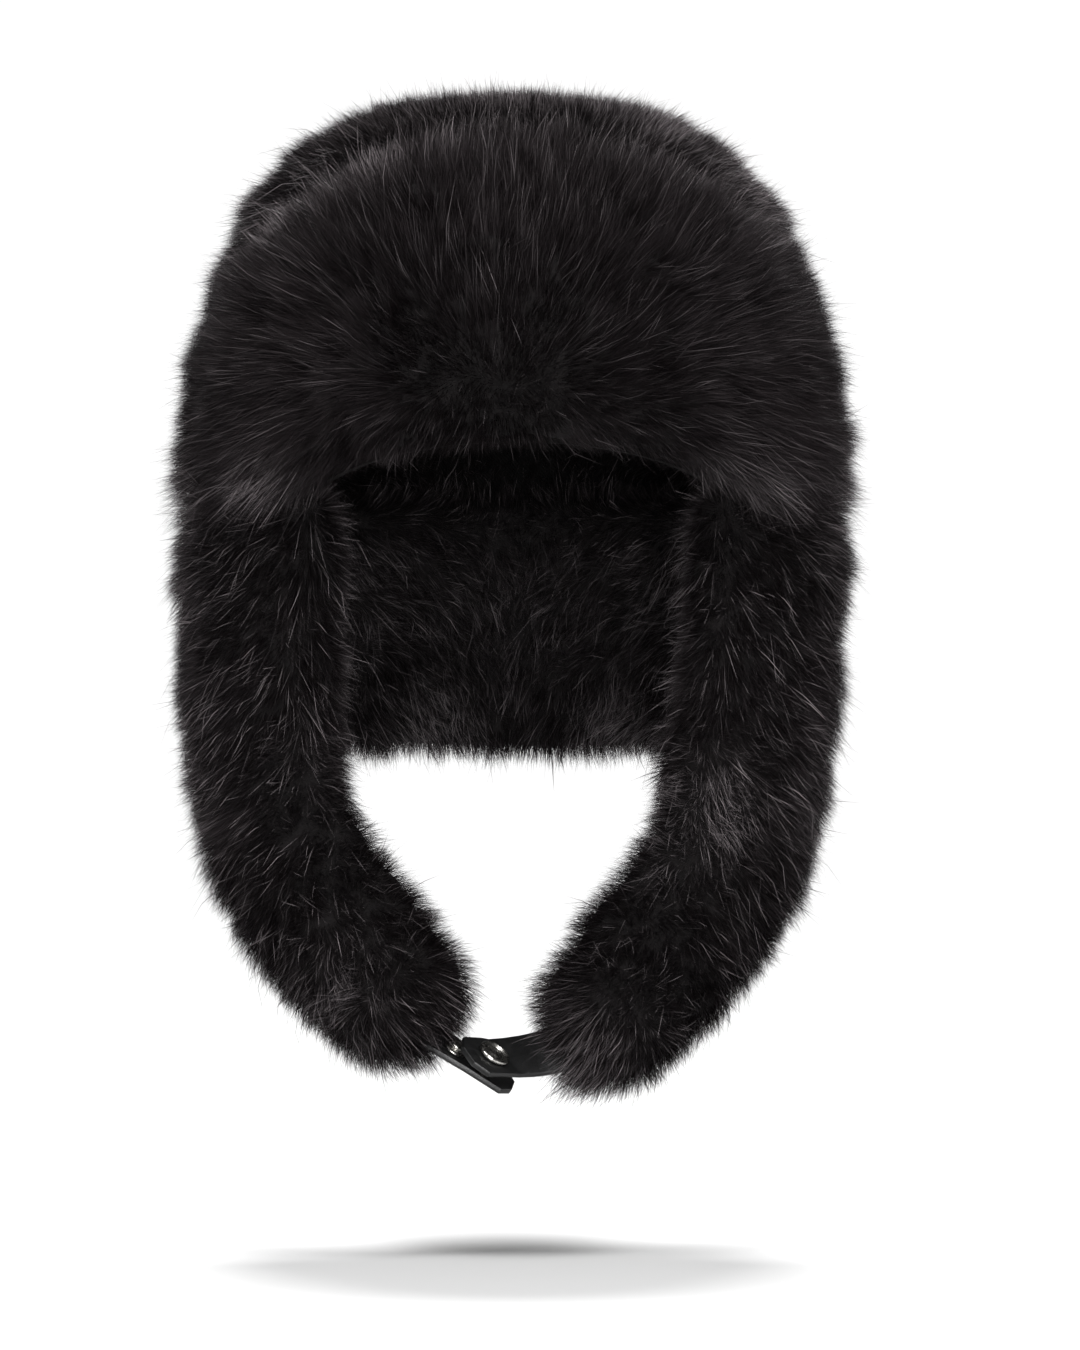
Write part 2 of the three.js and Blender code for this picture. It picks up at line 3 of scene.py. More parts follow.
import bmesh
import bpy
import numpy as np
from mathutils import Matrix, Vector, bvhtree, kdtree, noise


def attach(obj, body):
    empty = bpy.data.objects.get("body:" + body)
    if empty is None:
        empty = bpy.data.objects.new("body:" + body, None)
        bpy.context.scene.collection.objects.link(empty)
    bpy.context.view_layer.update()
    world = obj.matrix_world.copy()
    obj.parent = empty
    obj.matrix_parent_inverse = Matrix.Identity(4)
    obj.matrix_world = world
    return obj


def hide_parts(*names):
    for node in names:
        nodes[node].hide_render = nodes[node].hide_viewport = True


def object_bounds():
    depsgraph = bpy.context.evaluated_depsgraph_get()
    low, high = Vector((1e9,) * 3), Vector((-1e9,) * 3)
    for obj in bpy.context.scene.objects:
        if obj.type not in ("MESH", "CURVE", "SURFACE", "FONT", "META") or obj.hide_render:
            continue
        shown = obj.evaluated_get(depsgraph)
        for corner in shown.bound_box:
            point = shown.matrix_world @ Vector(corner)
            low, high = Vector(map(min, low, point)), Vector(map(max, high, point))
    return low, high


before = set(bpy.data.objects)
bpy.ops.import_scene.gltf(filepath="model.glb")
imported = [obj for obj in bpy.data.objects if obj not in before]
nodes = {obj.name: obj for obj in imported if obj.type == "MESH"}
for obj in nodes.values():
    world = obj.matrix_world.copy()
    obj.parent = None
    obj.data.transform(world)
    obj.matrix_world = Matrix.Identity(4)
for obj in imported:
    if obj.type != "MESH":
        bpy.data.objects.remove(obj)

cadBox = [list(corner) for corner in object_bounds()]
scene = bpy.context.scene
mm = 0.001
print("frame loaded:", len(nodes), "nodes")


# shader helpers

class Wire:
    # a shader socket that works in Python sums
    def __init__(self, tree, socket):
        self.tree = tree
        self.socket = socket

    def sum(self, operation, first, second):
        node = self.tree.nodes.new("ShaderNodeMath")
        node.operation = operation
        plug(self.tree, node.inputs[0], first)
        plug(self.tree, node.inputs[1], second)
        return Wire(self.tree, node.outputs[0])

    def __add__(self, other):
        return self.sum("ADD", self, other)

    def __rsub__(self, other):
        return self.sum("SUBTRACT", other, self)

    def __mul__(self, other):
        return self.sum("MULTIPLY", self, other)

    def __pow__(self, other):
        return self.sum("POWER", self, other)


def plug(tree, socket, value):
    if isinstance(value, Wire):
        tree.links.new(value.socket, socket)
    else:
        socket.default_value = value


class Finish:
    # a material with one Principled shader, and one method for every other node
    def __init__(self, name, **constants):
        self.material = bpy.data.materials.new(name)
        self.material.use_nodes = True
        self.tree = self.material.node_tree
        self.shader = self.tree.nodes["Principled BSDF"]
        for socket, value in constants.items():
            self.shader.inputs[socket.replace("_", " ")].default_value = value

    def node(self, kind, settings=None, inputs=None, output=0):
        made = self.tree.nodes.new(kind)
        for key, value in (settings or {}).items():
            if key == "stops":
                setStops(made.color_ramp, value)
            else:
                setattr(made, key, value)
        for key, value in (inputs or {}).items():
            plug(self.tree, made.inputs[key], value)
        return Wire(self.tree, made.outputs[output])

    def feed(self, socket, value):
        plug(self.tree, self.shader.inputs[socket], value)

    def place(self):
        return self.node("ShaderNodeTexCoord", output="Object")

    def grain(self, scale, detail=2, roughness=0.5):
        return self.node("ShaderNodeTexNoise", {}, {
            "Vector": self.place(), "Scale": scale, "Detail": detail, "Roughness": roughness})

    def ramp(self, factor, stops):
        return self.node("ShaderNodeValToRGB", {"stops": stops}, {"Fac": factor})

    def bump(self, height, strength, distance):
        made = self.node("ShaderNodeBump", {}, {
            "Height": height, "Strength": strength, "Distance": distance})
        self.feed("Normal", made)


def setStops(ramp, stops):
    while len(ramp.elements) < len(stops):
        ramp.elements.new(0.5)
    for element, (position, colour) in zip(ramp.elements, stops):
        element.position = position
        element.color = (*colour, 1)


# finishes

furLook = {
    "root": (0.0014, 0.0010, 0.0011), "tip": (0.0029, 0.0021, 0.0023),
    # the bright end of the strands' tone: the pile's own silver hairs, and painted sheen
    "silverAndSheenRoot": (0.02, 0.0172, 0.0180), "silverAndSheenTip": (0.25, 0.222, 0.230),
    "silverAndSheenPower": 2.8,  # a higher power leaves fewer strands bright
    "roughness": 0.42, "roughnessDrop": 0.12, "specular": 0.085, "specularTint": (1, 0.86, 0.9, 1),
}


def furFinish():
    # colour follows the strand's own map: x is its tone, random, brighter for guard hairs and raised by
    # the painted sheen of the patches; y runs from root to tip, and the darker roots are painted shade
    # deep in the pile
    finish = Finish("fur strands", Specular_IOR_Level=furLook["specular"],
                    Specular_Tint=furLook["specularTint"])
    strandMap = finish.node("ShaderNodeUVMap", {"uv_map": "OFBake"})
    tone = finish.node("ShaderNodeSeparateXYZ", {}, {"Vector": strandMap}, output=0)
    along = finish.node("ShaderNodeSeparateXYZ", {}, {"Vector": strandMap}, output=1)
    black = finish.ramp(along, [(0.2, furLook["root"]), (1, furLook["tip"])])
    silverAndSheen = finish.ramp(along, [(0.2, furLook["silverAndSheenRoot"]), (0.9, furLook["silverAndSheenTip"])])
    colour = finish.node("ShaderNodeMix", {"data_type": "RGBA"}, {
        "Factor": tone ** furLook["silverAndSheenPower"], 6: black, 7: silverAndSheen}, output=2)
    finish.feed("Base Color", colour)
    finish.feed("Roughness", furLook["roughness"] - tone * furLook["roughnessDrop"])
    return finish.material


def underfurFinish():
    finish = Finish("underfur", Specular_IOR_Level=0.12)
    tufts = finish.grain(160, 4, 0.6)
    fine = finish.grain(900, 2, 0.5)
    finish.feed("Base Color", finish.ramp(tufts, [
        (0.35, (0.0021, 0.0016, 0.0017)), (0.75, (0.0048, 0.0037, 0.0039))]))
    finish.feed("Roughness", fine * 0.2 + 0.75)
    finish.bump(tufts * 0.7 + fine * 0.3, 0.8, 0.002)
    return finish.material


def liningFinish():
    finish = Finish("lining cloth", Specular_IOR_Level=0.04)
    weave = finish.node("ShaderNodeTexWave", {"wave_type": "BANDS", "bands_direction": "DIAGONAL"}, {
        "Vector": finish.place(), "Scale": 420.0, "Distortion": 1.5, "Detail": 1.0})
    cloud = finish.grain(60, 3)
    finish.feed("Base Color", finish.ramp(cloud, [
        (0.3, (0.0007, 0.0006, 0.0006)), (0.8, (0.0016, 0.0013, 0.0012))]))
    finish.feed("Roughness", weave * 0.15 + 0.6)
    finish.bump(weave * 0.6 + cloud * 0.4, 0.35, 0.0004)
    return finish.material


def leatherFinish():
    finish = Finish("tab leather", Specular_IOR_Level=0.4)
    pores = finish.node("ShaderNodeTexVoronoi", {"feature": "F1"}, {
        "Vector": finish.place(), "Scale": 1500.0})
    creases = finish.grain(350, 4, 0.6)
    finish.feed("Base Color", finish.ramp(creases, [
        (0.3, (0.0022, 0.0022, 0.0023)), (0.8, (0.0055, 0.0055, 0.0057))]))
    finish.feed("Roughness", creases * 0.25 + 0.28)
    finish.bump(pores * 0.5 + creases * 0.5, 0.35, 0.0003)
    return finish.material


def snapFinish():
    finish = Finish("snap nickel", Metallic=1.0)
    rub = finish.grain(700, 3, 0.6)
    finish.feed("Base Color", finish.ramp(rub, [(0.3, (0.30, 0.29, 0.275)), (0.75, (0.55, 0.54, 0.51))]))
    finish.feed("Roughness", rub * 0.22 + 0.16)
    return finish.material


furMaterial = furFinish()
underfurMaterial = underfurFinish()
liningMaterial = liningFinish()
leatherMaterial = leatherFinish()
snapMaterial = snapFinish()
print("finishes made")


# small mesh helpers

def newObject(name, mesh, material):
    made = bpy.data.objects.new(name, mesh)
    scene.collection.objects.link(made)
    made.data.materials.clear()
    made.data.materials.append(material)
    return made


def bmeshOfNode(name, weld=0.00005):
    bm = bmesh.new()
    bm.from_mesh(nodes[name].data)
    bmesh.ops.remove_doubles(bm, verts=bm.verts, dist=weld)
    return bm


def meshArrays(mesh):
    mesh.calc_loop_triangles()
    points = np.zeros(len(mesh.vertices) * 3)
    normals = np.zeros(len(mesh.vertices) * 3)
    corners = np.zeros(len(mesh.loop_triangles) * 3, int)
    mesh.vertices.foreach_get("co", points)
    mesh.vertices.foreach_get("normal", normals)
    mesh.loop_triangles.foreach_get("vertices", corners)
    return points.reshape(-1, 3), normals.reshape(-1, 3), corners.reshape(-1, 3)


def triangleCount(mesh):
    return len(mesh.loops) - 2 * len(mesh.polygons)


def unit(vectors):
    return vectors / np.maximum(np.linalg.norm(vectors, axis=1, keepdims=True), 1e-9)


def wander(points, size, seed):
    # a smooth direction field, with swirls about size metres across
    phase = np.random.default_rng(seed).uniform(0, 6.28, (3, 3, 3))
    spin = np.random.default_rng(seed + 1).normal(0, 1, (3, 3, 3))
    field = np.zeros_like(points)
    for k in range(3):
        for octave in range(3):
            wave = points @ (unit(spin[k]) * (6.28 / size) * (1 + 0.7 * octave))[octave]
            field[:, k] += np.sin(wave + phase[k, octave, 0]) * np.cos(
                points @ (unit(spin[(k + 1) % 3]) * (6.28 / size))[octave] + phase[k, octave, 1])
    return field / 1.6


# underfur: the dense mass of each panel, made from the panel's solid

underfur = {"voxel": 4.5 * mm, "smoothing": 8, "inset": 1.8 * mm, "wallReach": 9 * mm, "cover": 8 * mm,
            "tuftHeight": 1.6 * mm, "tuftSize": 11 * mm, "seamReach": 8 * mm}


def treeOf(nodeName):
    bm = bmeshOfNode(nodeName)
    tree = bvhtree.BVHTree.FromBMesh(bm)
    bm.free()
    return tree


def denseMesh(name, nodeName):
    # the panel's solid, remeshed evenly
    bm = bmeshOfNode(nodeName)
    mesh = bpy.data.meshes.new(name)
    bm.to_mesh(mesh)
    bm.free()
    rough = bpy.data.objects.new(name + " rough", mesh)
    scene.collection.objects.link(rough)
    remesh = rough.modifiers.new("remesh", "REMESH")
    remesh.mode = "VOXEL"
    remesh.voxel_size = underfur["voxel"]
    bpy.context.view_layer.update()
    dense = bpy.data.meshes.new_from_object(rough.evaluated_get(bpy.context.evaluated_depsgraph_get()))
    bpy.data.objects.remove(rough)
    return dense


def pileBody(name, nodeName):
    dense = denseMesh(name, nodeName)
    neighbours = [treeOf(panel["node"]) for panel in panels.values() if panel["node"] != nodeName]
    bm = bmesh.new()
    bm.from_mesh(dense)
    for _ in range(underfur["smoothing"]):
        bmesh.ops.smooth_vert(bm, verts=bm.verts, factor=0.5,
                              use_axis_x=True, use_axis_y=True, use_axis_z=True)
    bm.normal_update()
    outer = bm.verts.layers.float.new("outer")
    seam = bm.verts.layers.float.new("seam")
    moves = []
    for vert in bm.verts:
        # no hair grows where a wall covers the pile
        covered = any(tree.ray_cast(vert.co, vert.normal, underfur["cover"])[0] for tree in wallTrees)
        fromWall = min(tree.find_nearest(vert.co)[3] for tree in wallTrees)
        vert[outer] = 0 if covered else fromWall
        away = min(1, vert[outer] / underfur["wallReach"])
        apart = min(1, min(tree.find_nearest(vert.co)[3] for tree in neighbours) / underfur["seamReach"])
        vert[seam] = 1 - apart
        tuft = noise.fractal(vert.co / underfur["tuftSize"], 1, 2, 3) * underfur["tuftHeight"]
        moves.append(vert.normal * (away * (tuft - underfur["inset"] * apart)))
    for vert, move in zip(bm.verts, moves):
        vert.co += move
    bmesh.ops.recalc_face_normals(bm, faces=bm.faces)
    bm.to_mesh(dense)
    bm.free()
    body = newObject(name, dense, underfurMaterial)
    for polygon in dense.polygons:
        polygon.use_smooth = True
    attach(body, "root")
    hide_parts(nodeName)
    return body


# strands: rows of tapering hairs, joined into one mesh for each part of a panel

# proud is how far hairs may stand out of the solids' box, and seamDepth lengthens them at a seam
strandShape = {"toneWidth": 0.03, "proud": 8.5 * mm, "leastUpright": 0.6, "shadedReach": 4 * mm,
               "tuftSpacing": 6 * mm, "tuftDepth": 0.1, "seamDepth": 0.6}
# a strand's points from root to tip: how far along, how wide, and on which side; and its faces' corners
strandKinds = {
    "bent": {"steps": (0, 0, 0.55, 0.55, 1), "widths": (-1, 1, -0.75, 0.75, 0),
             "corners": (0, 1, 3, 2, 2, 3, 4), "faces": (4, 3)},
    "straight": {"steps": (0, 0, 1), "widths": (-1, 1, 0), "corners": (0, 1, 2), "faces": (3,)},
}


def shaded(name, middle, facing):
    # true where another panel covers the pile at once
    others = [other for other in panelTrees if other != name]
    hidden = np.zeros(len(middle), bool)
    for k, (spot, way) in enumerate(zip(middle, facing)):
        start = Vector(spot + way * 2 * mm)
        hidden[k] = any(panelTrees[other].ray_cast(start, Vector(way), strandShape["shadedReach"])[0]
                        for other in others)
    return hidden


def vertexValues(mesh, name, value):
    # a mesh's own values of this name, or else the same value throughout
    values = np.full(len(mesh.vertices), float(value))
    if name in mesh.attributes:
        mesh.attributes[name].data.foreach_get("value", values)
    return values


class Ground:
    # the outer side of a mesh, where strands grow
    def __init__(self, name, mesh, wanted):
        self.points, self.normals, self.corners = meshArrays(mesh)
        outer = vertexValues(mesh, "outer", 1)
        self.seam = vertexValues(mesh, "seam", 0)
        middle = self.points[self.corners].mean(1)
        facing = unit(self.normals[self.corners].mean(1))
        edgeA = self.points[self.corners[:, 1]] - self.points[self.corners[:, 0]]
        edgeB = self.points[self.corners[:, 2]] - self.points[self.corners[:, 0]]
        area = np.linalg.norm(np.cross(edgeA, edgeB), axis=1) / 2
        grows = area * (outer[self.corners].min(1) > 0) * wanted(middle)
        self.area = grows.sum()
        # a little denser to the front, and thin where another panel lies on it
        weight = grows * (1.25 - 0.5 * facing[:, 1])
        weight[weight > 0] *= np.where(shaded(name, middle[weight > 0], facing[weight > 0]), 0.3, 1)
        self.weight = weight / weight.sum()

    def scatter(self, count, rng):
        picked = rng.choice(len(self.corners), count, p=self.weight)
        a, b = rng.random((2, count, 1))
        fold = a + b > 1
        a, b = np.where(fold, 1 - a, a), np.where(fold, 1 - b, b)
        corner = self.points[self.corners[picked]]
        normal = self.normals[self.corners[picked]]
        spots = corner[:, 0] * (1 - a - b) + corner[:, 1] * a + corner[:, 2] * b
        normals = unit(normal[:, 0] * (1 - a - b) + normal[:, 1] * a + normal[:, 2] * b)
        return spots, normals, self.seam[self.corners[picked]].mean(1)[:, None]


def tuftOf(points, centres):
    tree = kdtree.KDTree(len(centres))
    for k, centre in enumerate(centres):
        tree.insert(centre, k)
    tree.balance()
    return np.array([tree.find(point)[1] for point in points])


def paintedSheenAt(points):
    # how much painted sheen the pile gets at each point, from the patches
    shine = np.zeros(len(points))
    for x, y, z, radius, amount in paintedSheenPatches:
        away = np.linalg.norm((points - np.array([x, y, z]) * mm) * np.array([1, 0.5, 1]), axis=1)
        shine = np.maximum(shine, amount * np.exp(-(away / (radius * mm)) ** 2))
    return shine


def bend(root, middle, tip, step):
    return root * (1 - step) ** 2 + middle * 2 * step * (1 - step) + tip * step ** 2


def growStrands(kind, spec, ground, centres, rng):
    # the points and the tone of each strand of one kind
    count = spec[kind]
    spots, normals, seam = ground.scatter(count, rng)
    lie = spec["lie"](spots) + wander(spots, spec["swirlSize"], spec["seed"]) * spec["swirl"]
    lie = lie - normals * (lie * normals).sum(1, keepdims=True)
    strength = np.clip(np.linalg.norm(lie, axis=1, keepdims=True), 0, 1)
    lie = unit(lie)
    tuft = tuftOf(spots, centres)
    mood = np.random.default_rng(spec["seed"] + 5).normal(0, 1, (len(centres), 5))[tuft]
    lean = spec["lean"] * strength + mood[:, 0:1] * spec["tuftNoise"]
    lean = np.clip(lean + rng.normal(0, spec["noise"], (count, 1)), 0, 0.8)
    turn = mood[:, 1:4] * spec["tuftNoise"] + rng.normal(0, spec["noise"], (count, 3))
    heading = unit(normals * (1 - lean) + lie * lean + turn)
    upright = np.clip((heading * normals).sum(1, keepdims=True), strandShape["leastUpright"], 1)
    depth = spec["depth"] * spec["depthAt"](spots) * rng.normal(1, 0.14, (count, 1))
    depth = depth * (1 + strandShape["tuftDepth"] * mood[:, 4:5]) * (1 + strandShape["seamDepth"] * seam)
    isGuard = rng.random((count, 1)) < spec["guards"]
    depth = np.where(isGuard, depth * rng.uniform(1.15, 1.8, (count, 1)), depth)
    length = (depth + spec["rooted"]) / upright
    root = spots - normals * spec["rooted"]
    pull = rng.uniform(0, spec["gather"], (count, 1)) * (1 - isGuard)
    tip = root + heading * length + (centres[tuft] - spots) * pull
    low, high = np.array(cadBox)
    tip = np.clip(tip, low - strandShape["proud"], high + strandShape["proud"])
    middle = root + normals * length * spec["rise"] + (tip - root) * 0.3
    twist = normals * 1.1 + rng.normal(0, 0.5, (count, 3))
    width = spec["width"] * rng.uniform(0.7, 1.3, (count, 1)) * np.where(isGuard, 1.2, 1)
    sideways = unit(np.cross(tip - root, twist)) * width / 2
    shape = strandKinds[kind]
    points = [bend(root, middle, tip, step) + sideways * wide
              for step, wide in zip(shape["steps"], shape["widths"])]
    tone = (rng.beta(1.2, 6, count) + isGuard[:, 0] * rng.uniform(0.3, 0.9, count)) * spec["shine"]
    # painted sheen: strands in the patches are made lighter where light catches the pile
    tone += paintedSheenAt(spots) * rng.random(count) ** 3 * 2.5
    return np.stack(points, 1), np.clip(tone, 0, 1)


def strandPiece(name, spec, ground):
    rng = np.random.default_rng(spec["seed"])
    centres, _, _ = ground.scatter(int(ground.area / strandShape["tuftSpacing"] ** 2), rng)
    grown = {kind: growStrands(kind, spec, ground, centres, rng) for kind in strandKinds}
    mesh = strandMesh(name, grown)
    piece = newObject(name, mesh, furMaterial)
    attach(piece, "root")
    print(name, spec["bent"] + spec["straight"], "strands,", triangleCount(mesh), "triangles")


def strandMesh(name, grown):
    loops, sizes, maps, places = [], [], [], []
    first = 0
    width = strandShape["toneWidth"]
    for kind, (points, tone) in grown.items():
        shape = strandKinds[kind]
        count, perStrand = points.shape[:2]
        corners = np.array(shape["corners"])
        loops.append((first + np.arange(count)[:, None] * perStrand + corners).ravel())
        sizes.append(np.tile(shape["faces"], count))
        uv = np.zeros((count, len(corners), 2))
        side = (np.sign(shape["widths"]) + 1) / 2
        uv[:, :, 0] = (tone * (1 - width))[:, None] + side[corners] * width
        uv[:, :, 1] = np.array(shape["steps"])[corners]
        maps.append(uv.ravel())
        places.append(points.ravel())
        first += count * perStrand
    loops, sizes = np.concatenate(loops), np.concatenate(sizes)
    mesh = bpy.data.meshes.new(name)
    mesh.vertices.add(first)
    mesh.vertices.foreach_set("co", np.concatenate(places))
    mesh.loops.add(len(loops))
    mesh.loops.foreach_set("vertex_index", loops)
    mesh.polygons.add(len(sizes))
    mesh.polygons.foreach_set("loop_start", np.concatenate([[0], np.cumsum(sizes)[:-1]]))
    mesh.polygons.foreach_set("loop_total", sizes)
    mesh.update(calc_edges=True)
    mesh.polygons.foreach_set("use_smooth", np.ones(len(sizes), bool))
    mesh.uv_layers.new(name="OFBake").data.foreach_set("uv", np.concatenate(maps))
    return mesh


# patches of lighter hair: painted sheen where light catches the pile, painted light that lifts its shade,
# and partly the pile's own silver; x, y, z and radius in mm, and how much
paintedSheenPatches = [
    # along the front flap's upper edge, from the viewer's left to the right
    (-113, -35, -46, 16, 0.2), (-99, -50, -24, 14, 0.45), (-84, -70, -14, 15, 0.65),
    (-66, -88, -4, 14, 0.5),
    (-50, -98, 6, 14, 0.68), (-28, -105, 14, 13, 0.62), (-8, -108, 20, 14, 0.58),
    (14, -108, 22, 14, 0.58), (38, -104, 16, 16, 0.48), (62, -92, 6, 18, 0.42),
    (84, -72, -12, 20, 0.36), (102, -40, -40, 18, 0.12),
    # crown: painted highlights on the top and shoulders, and painted light on the shaded corners beside
    # the front flap's low ends
    (0, -30, 34, 40, 0.6), (45, -30, 28, 30, 0.6), (78, -25, 8, 26, 0.55), (98, -20, -18, 22, 0.4),
    (-45, -30, 28, 30, 0.3), (114, -8, -96, 20, 0.4), (-116, -8, -104, 20, 0.4),
    # front flap: low corners and middle
    (-84, -84, -104, 13, 0.75), (-95, -76, -114, 14, 0.5), (84, -82, -108, 15, 0.5),
    (66, -100, -104, 12, 0.6),
    (-4, -122, -36, 20, 0.15), (10, -128, -62, 18, 0.12),
    # ear flaps
    (66, -78, -215, 15, 1.8), (54, -80, -228, 12, 1.4), (-72, -72, -200, 13, 0.5),
    (-82, -76, -150, 12, 0.35), (-121, 0, -140, 26, 0.35), (-118, -5, -205, 26, 0.35),
    (119, 0, -150, 22, 0.3), (112, -20, -215, 22, 0.3),
    (-62, -78, -278, 20, 0.4), (28, -88, -298, 18, 0.45),
    # neck flap: painted highlights at the hem, and painted light on the shaded inner pile
    (-30, 72, -188, 18, 0.7), (36, 72, -188, 18, 0.6),
    (0, 20, -145, 45, 0.55), (-45, 20, -140, 30, 0.5), (45, 20, -140, 30, 0.5),
]


def everywhere(points):
    return 1


def frontHalf(points):
    return points[:, 1] < 0.02


def backHalf(points):
    return points[:, 1] >= 0.02


def insideNape(points):
    # the inner side of the crown's wall, low at the back
    inner = (points[:, 0] / 0.082) ** 2 + (points[:, 1] / 0.101) ** 2 < 1.02
    return inner * (points[:, 1] > 0) * (points[:, 2] < -0.07)


# how the pile lies on each panel, and how deep it is where that varies


def crownLie(points):
    lie = points * np.array([1, 0.8, 0]) / 0.07
    return lie - np.array([0, 0, 0.5]) * np.minimum(np.linalg.norm(lie, axis=1, keepdims=True), 1)


def frontLie(points):
    # away from a low arc across the flap
    away = points - np.array([-0.01, -0.12, -0.086])
    away[:, 2] -= 0.024 * np.minimum(1, (points[:, 0] / 0.08) ** 2)
    return away / np.array([0.055, 0.2, 0.032])


def frontDepth(points):
    # short over the brow, and longer at the two low corners
    low = np.clip((-0.07 - points[:, 2:3]) / 0.02, 0, 1)
    corner = np.clip((np.abs(points[:, 0:1]) - 0.05) / 0.02, 0, 1)
    return 1 + low * (corner * 0.6 - 0.25)


def earLie(points):
    low = np.clip((-0.225 - points[:, 2:3]) / 0.05, 0, 1)
    side = np.sign(points[:, 0:1]) * np.array([[1, 0, 0]])
    return np.array([0, 0, -1]) + side * 0.3 + low * (np.array([0, -0.4, 0.25]) - side)


def earDepth(points):
    # longer over the ends of the tabs
    away = np.hypot(np.abs(points[:, 0:1]) - 0.024, points[:, 2:3] + 0.302)
    return 1 + 0.7 * np.exp(-(away / 0.014) ** 2)


def neckLie(points):
    return np.tile(np.array([0, 0, -1.0]), (len(points), 1))


panels = {
    "crown": {
        "node": "crown_fur", "wall": "crown_wall",
        "strands": {
            "crown_pile_front": {"bent": 12000, "straight": 95000, "where": frontHalf, "seed": 11},
            "crown_pile_back": {"bent": 10000, "straight": 80000, "where": backHalf, "seed": 12},
        },
        "lie": crownLie, "lean": 0.3, "depth": 7.5 * mm, "swirl": 0.3,
    },
    "front flap": {
        "node": "front_flap_fur", "wall": "front_flap_wall",
        "strands": {
            "front_flap_pile": {"bent": 18000, "straight": 100000, "where": everywhere, "seed": 21},
        },
        "lie": frontLie, "lean": 0.48, "depth": 7.5 * mm, "depthAt": frontDepth, "swirl": 0.3,
        # shine scales the strands' tone; lower here, the front flap's strands are darker than the other
        # panels' as painted shade
        "shine": 0.6,
    },
    "right ear flap": {
        "node": "right_ear_flap_fur", "wall": "right_ear_flap_wall",
        "strands": {
            "right_ear_flap_pile": {"bent": 14000, "straight": 95000, "where": everywhere, "seed": 31},
        },
        "lie": earLie, "lean": 0.4, "depth": 7 * mm, "depthAt": earDepth, "swirl": 0.35,
    },
    "left ear flap": {
        "node": "left_ear_flap_fur", "wall": "left_ear_flap_wall",
        "strands": {
            "left_ear_flap_pile": {"bent": 14000, "straight": 95000, "where": everywhere, "seed": 41},
        },
        "lie": earLie, "lean": 0.4, "depth": 7 * mm, "depthAt": earDepth, "swirl": 0.35,
    },
    "neck flap": {
        "node": "neck_flap_fur", "wall": "neck_flap_wall",
        "strands": {
            "neck_flap_pile": {"bent": 8000, "straight": 70000, "where": everywhere, "seed": 51},
        },
        "lie": neckLie, "lean": 0.36, "depth": 7 * mm, "swirl": 0.35,
    },
}

# guards is the share of longer and brighter hairs, and gather draws the tips into tufts
napePile = {"bent": 2500, "straight": 12000, "where": insideNape, "seed": 61,
            "lie": neckLie, "lean": 0.4, "depth": 6 * mm, "swirl": 0.35}
strandDefaults = {"gather": 0.3, "guards": 0.04, "rooted": 2.5 * mm, "rise": 0.3, "width": 0.22 * mm,
                  "noise": 0.09, "tuftNoise": 0.1, "depthAt": everywhere, "swirlSize": 0.07, "shine": 1}

wallTrees = [treeOf(panel["wall"]) for panel in panels.values()]
bodies = {name: pileBody(name.replace(" ", "_") + "_underfur", panel["node"])
          for name, panel in panels.items()}
panelTrees = {}
for body in bodies.values():
    bm = bmesh.new()
    bm.from_mesh(body.data)
    panelTrees[body.name] = bvhtree.BVHTree.FromBMesh(bm)
    bm.free()
    print(body.name, triangleCount(body.data), "triangles")
for panelName, panel in panels.items():
    body = bodies[panelName]
    for pieceName, own in panel["strands"].items():
        ground = Ground(body.name, body.data, own["where"])
        strandPiece(pieceName, {**strandDefaults, **panel, **own}, ground)
nape = Ground("nape", nodes["crown_wall"].data, napePile["where"])
strandPiece("nape_pile", {**strandDefaults, **napePile}, nape)


# tabs: smooth leather with a softened edge, from each tab's solid

tabLook = {"flatAngle": 4, "edge": 0.35 * mm, "edgeSteps": 3, "edgeAngle": 38}


def leatherTab(name, nodeName):
    bm = bmeshOfNode(nodeName)
    flat = math.radians(tabLook["flatAngle"])
    bmesh.ops.dissolve_limit(bm, angle_limit=flat, verts=bm.verts, edges=bm.edges)
    mesh = bpy.data.meshes.new(name)
    bm.to_mesh(mesh)
    bm.free()
    tab = newObject(name, mesh, leatherMaterial)
    bevel = tab.modifiers.new("soft edge", "BEVEL")
    bevel.width = tabLook["edge"]
    bevel.segments = tabLook["edgeSteps"]
    bevel.limit_method = "ANGLE"
    bevel.angle_limit = math.radians(tabLook["edgeAngle"])
    for polygon in mesh.polygons:
        polygon.use_smooth = True
    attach(tab, "root")
    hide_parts(nodeName)
    return tab


leatherTab("right_tab_leather", "right_tab")
leatherTab("left_tab_leather", "left_tab")
print("tabs made")


# snap: the pieces that show are turned afresh, with more sides than their solids

snapUp = Vector((0.515, -0.43, 0.74)).normalized()
turnedPieces = {  # radius and depth below the node's top, both in mm, from the axis outwards
    "snap_cap": [
        (0, 0.2), (1.2, 0.24), (2.2, 0.5), (3.1, 0.85), (3.6, 0.95), (4.0, 0.8), (4.4, 0.35),
        (4.8, 0.05), (5.2, 0), (5.55, 0.25), (5.78, 0.7), (5.8, 1.1), (5.6, 1.45), (5.3, 1.6),
        (1.6, 1.6), (1.6, 4.4), (0, 4.4)],
    "snap_stud": [
        (0, 0), (1.6, 0), (2.1, 0.15), (2.4, 0.5), (2.3, 0.8), (2.1, 1.1), (2.15, 1.35),
        (4.2, 1.4), (4.6, 1.7), (4.5, 2.0), (1.6, 2.05), (1.6, 4.8), (0, 4.8)],
}
turnedPieces["spare_stud"] = turnedPieces["snap_stud"]


